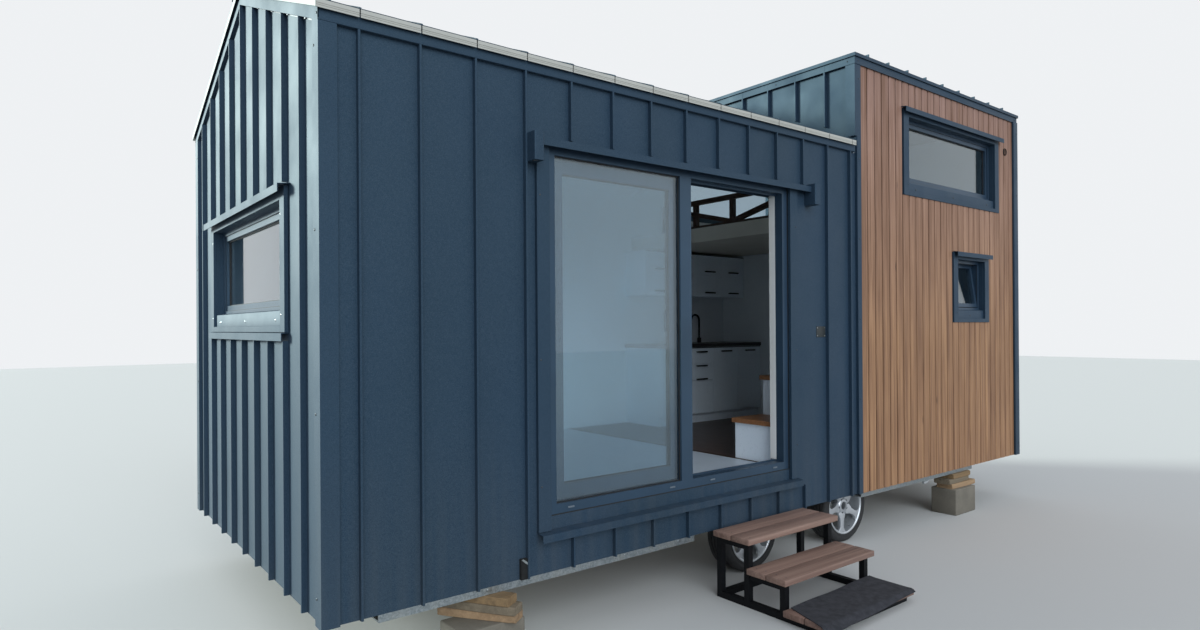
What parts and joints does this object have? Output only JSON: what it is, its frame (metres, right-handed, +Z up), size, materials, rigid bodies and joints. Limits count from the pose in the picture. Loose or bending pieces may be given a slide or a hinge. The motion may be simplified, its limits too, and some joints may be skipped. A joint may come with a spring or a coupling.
{
  "type": "tiny house",
  "caption": "Tiny house on a trailer: gable-roofed metal-clad room with a sliding glass door, a taller flat-roofed wood-clad box with a loft, and entry steps",
  "frame": {"origin": "middle of the whole outline, on the ground that the supports stand on", "axes": "+X along the length from the gable-roofed part to the flat-roofed part, the front with the door faces -Y, +Z up"},
  "size_m": [7.265, 3.9, 3.999],
  "materials": {
    "dark_cladding": "satin",
    "wood_cladding": "matte",
    "inner_wall": "matte",
    "frame_dark": "satin",
    "glass": "gloss",
    "deck_timber": "matte",
    "pale_floor": "satin",
    "dark_floor": "satin",
    "loft_paint": "matte",
    "dark_timber": "satin",
    "white_units": "satin",
    "oak_tops": "satin",
    "dark_worktop": "satin",
    "black_metal": "satin",
    "galvanised": "satin",
    "wheel_alloy": "satin",
    "tyre_rubber": "matte",
    "concrete": "matte",
    "tread_timber": "matte",
    "felt_mat": "matte"
  },
  "bodies": {
    "house": {"axles": "galvanised", "back_cladding": "dark_cladding", "back_wall": "inner_wall", "corner_trims": "dark_cladding", "cross_members": "galvanised", "door_fixed_pane": "glass", "door_frame": "frame_dark", "end_cladding": "dark_cladding", "flashings": "dark_cladding", "floor_deck": "deck_timber", "floor_kitchen": "dark_floor", "floor_living": "pale_floor", "front_cladding": "dark_cladding", "front_wall_left": "inner_wall", "front_wall_over_door": "inner_wall", "front_wall_right": "inner_wall", "gable_cladding": "dark_cladding", "gable_wall": "inner_wall", "kitchen_units": "white_units", "loft_floor": "loft_paint", "loft_guard": "dark_timber", "low_roof_back": "dark_cladding", "low_roof_front": "dark_cladding", "low_roof_trims": "dark_cladding", "opening_surrounds": "dark_cladding", "partition": "inner_wall", "ridge_cap": "dark_cladding", "roof_edge_trim": "dark_cladding", "stair_boxes": "white_units", "stair_tops": "oak_tops", "step_cladding": "dark_cladding", "step_frame": "black_metal", "step_mat": "felt_mat", "step_wall": "inner_wall", "support_blocks": "concrete", "support_planks": "deck_timber", "tall_back_boards": "wood_cladding", "tall_back_wall": "inner_wall", "tall_end_wall": "inner_wall", "tall_front_boards": "wood_cladding", "tall_front_wall": "inner_wall", "tall_roof": "dark_cladding", "tap": "black_metal", "trailer_beams": "galvanised", "treads": "tread_timber", "wall_lamps": "frame_dark", "wall_units": "white_units", "window_frames": "frame_dark", "window_panes": "glass", "worktop": "dark_worktop"},
    "sash": {"sash_frame": "frame_dark", "sash_pane": "glass"},
    "wheel_front_left": {"rim_front_left": "wheel_alloy", "tyre_front_left": "tyre_rubber"},
    "wheel_front_right": {"rim_front_right": "wheel_alloy", "tyre_front_right": "tyre_rubber"},
    "wheel_back_left": {"rim_back_left": "wheel_alloy", "tyre_back_left": "tyre_rubber"},
    "wheel_back_right": {"rim_back_right": "wheel_alloy", "tyre_back_right": "tyre_rubber"}
  },
  "joints": [
    {"name": "sash_slide", "type": "slide", "parent": "house", "child": "sash", "axis": [1, 0, 0], "range_m": [0, 1.008]},
    {"name": "wheel_front_left_turn", "type": "hinge", "parent": "house", "child": "wheel_front_left", "pos_m": [-0.4785, -0.798, 0.292], "axis": [0, 1, 0], "continuous": true},
    {"name": "wheel_front_right_turn", "type": "hinge", "parent": "house", "child": "wheel_front_right", "pos_m": [0.6885, -0.798, 0.292], "axis": [0, 1, 0], "continuous": true},
    {"name": "wheel_back_left_turn", "type": "hinge", "parent": "house", "child": "wheel_back_left", "pos_m": [-0.4785, 1.678, 0.292], "axis": [0, 1, 0], "continuous": true},
    {"name": "wheel_back_right_turn", "type": "hinge", "parent": "house", "child": "wheel_back_right", "pos_m": [0.6885, 1.678, 0.292], "axis": [0, 1, 0], "continuous": true}
  ]
}
